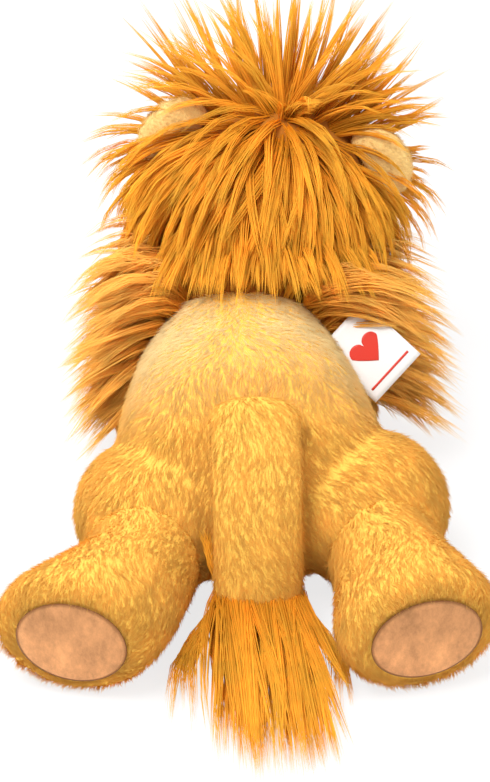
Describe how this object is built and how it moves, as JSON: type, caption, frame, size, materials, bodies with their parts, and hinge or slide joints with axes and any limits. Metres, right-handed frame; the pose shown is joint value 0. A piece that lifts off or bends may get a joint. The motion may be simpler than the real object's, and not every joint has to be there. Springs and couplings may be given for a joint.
{
  "type": "plush lion",
  "caption": "Soft stuffed lion lying flat on its belly, with a long-haired mane, stuffed legs with velour soles and a flat tail that ends in a hair tuft.",
  "frame": {"origin": "on the flat of the belly that rests on the floor, under the middle of the body", "axes": "-Z out of the belly, to the floor; +Y from the face to the tail; +X towards the lion's left"},
  "size_m": [0.2707, 0.4269, 0.2507],
  "materials": {
    "golden_plush": "matte",
    "amber_hair": "satin",
    "tan_velour": "matte",
    "white_filling": "matte",
    "bag_cloth": "matte",
    "nose_thread": "satin",
    "label_satin": "satin",
    "eye_gloss": "gloss",
    "washer_plastic": "matte"
  },
  "bodies": {
    "torso": {"torso_cover": "golden_plush", "torso_stuffing": "white_filling", "pellet_bag": "bag_cloth", "ruff_left": "amber_hair", "ruff_right": "amber_hair", "ruff_bib": "amber_hair"},
    "head": {"head_cover": "golden_plush", "head_stuffing": "white_filling", "muzzle": "golden_plush", "chin": "golden_plush", "nose": "nose_thread", "eye_left": "eye_gloss", "eye_right": "eye_gloss", "eye_washer_left": "washer_plastic", "eye_washer_right": "washer_plastic", "mane_crown": "amber_hair"},
    "ear_left": {"ear_left": "golden_plush"},
    "ear_right": {"ear_right": "golden_plush"},
    "tail": {"tail_cover": "golden_plush", "tail_stuffing": "white_filling"},
    "tail_tuft": {"tail_tuft": "amber_hair"},
    "label": {"label": "label_satin"},
    "front_leg_left": {"front_leg_left_cover": "golden_plush", "front_leg_left_stuffing": "white_filling", "front_pad_left": "tan_velour"},
    "hind_leg_left": {"hind_leg_left_cover": "golden_plush", "hind_leg_left_stuffing": "white_filling", "hind_sole_left": "tan_velour"},
    "front_leg_right": {"front_leg_right_cover": "golden_plush", "front_leg_right_stuffing": "white_filling", "front_pad_right": "tan_velour"},
    "hind_leg_right": {"hind_leg_right_cover": "golden_plush", "hind_leg_right_stuffing": "white_filling", "hind_sole_right": "tan_velour"}
  },
  "joints": [
    {"name": "head_nod", "type": "hinge", "parent": "torso", "child": "head", "pos_m": [0.002, -0.082, 0.094], "axis": [1, 0, 0], "range_deg": [-8, 8], "stiffness_Nm_per_rad": 5},
    {"name": "ear_left_fold", "type": "hinge", "parent": "head", "child": "ear_left", "pos_m": [0.03238, -0.13138, 0.17704], "axis": [0.6503, -0.0455, -0.7583], "range_deg": [-8, 16], "stiffness_Nm_per_rad": 0.05},
    {"name": "ear_right_fold", "type": "hinge", "parent": "head", "child": "ear_right", "pos_m": [-0.07343, -0.12398, 0.16024], "axis": [0.3847, -0.0269, 0.9227], "range_deg": [-8, 16], "stiffness_Nm_per_rad": 0.05},
    {"name": "front_leg_left_swing", "type": "hinge", "parent": "torso", "child": "front_leg_left", "pos_m": [0.047, -0.064, 0.0315], "axis": [0, 0, 1], "range_deg": [-5, 12], "stiffness_Nm_per_rad": 0.3},
    {"name": "front_leg_right_swing", "type": "hinge", "parent": "torso", "child": "front_leg_right", "pos_m": [-0.047, -0.064, 0.0315], "axis": [0, 0, -1], "range_deg": [-5, 12], "stiffness_Nm_per_rad": 0.3},
    {"name": "hind_leg_left_swing", "type": "hinge", "parent": "torso", "child": "hind_leg_left", "pos_m": [0.052, 0.046, 0.0415], "axis": [0, 0, -1], "range_deg": [0, 15], "stiffness_Nm_per_rad": 0.3},
    {"name": "hind_leg_right_swing", "type": "hinge", "parent": "torso", "child": "hind_leg_right", "pos_m": [-0.061, 0.046, 0.0415], "axis": [0, 0, 1], "range_deg": [0, 15], "stiffness_Nm_per_rad": 0.3},
    {"name": "tail_lift", "type": "hinge", "parent": "torso", "child": "tail", "pos_m": [0, 0.054, 0.11328], "axis": [1, 0, 0], "range_deg": [0, 70]},
    {"name": "tuft_flex", "type": "hinge", "parent": "tail", "child": "tail_tuft", "pos_m": [0, 0.104, 0.025], "axis": [1, 0, 0], "range_deg": [-60, 15]},
    {"name": "label_flap", "type": "hinge", "parent": "torso", "child": "label", "pos_m": [-0.05249, -0.04176, 0.10282], "axis": [0.694, 0.4231, -0.5825], "range_deg": [-8, 8], "stiffness_Nm_per_rad": 0.01}
  ]
}
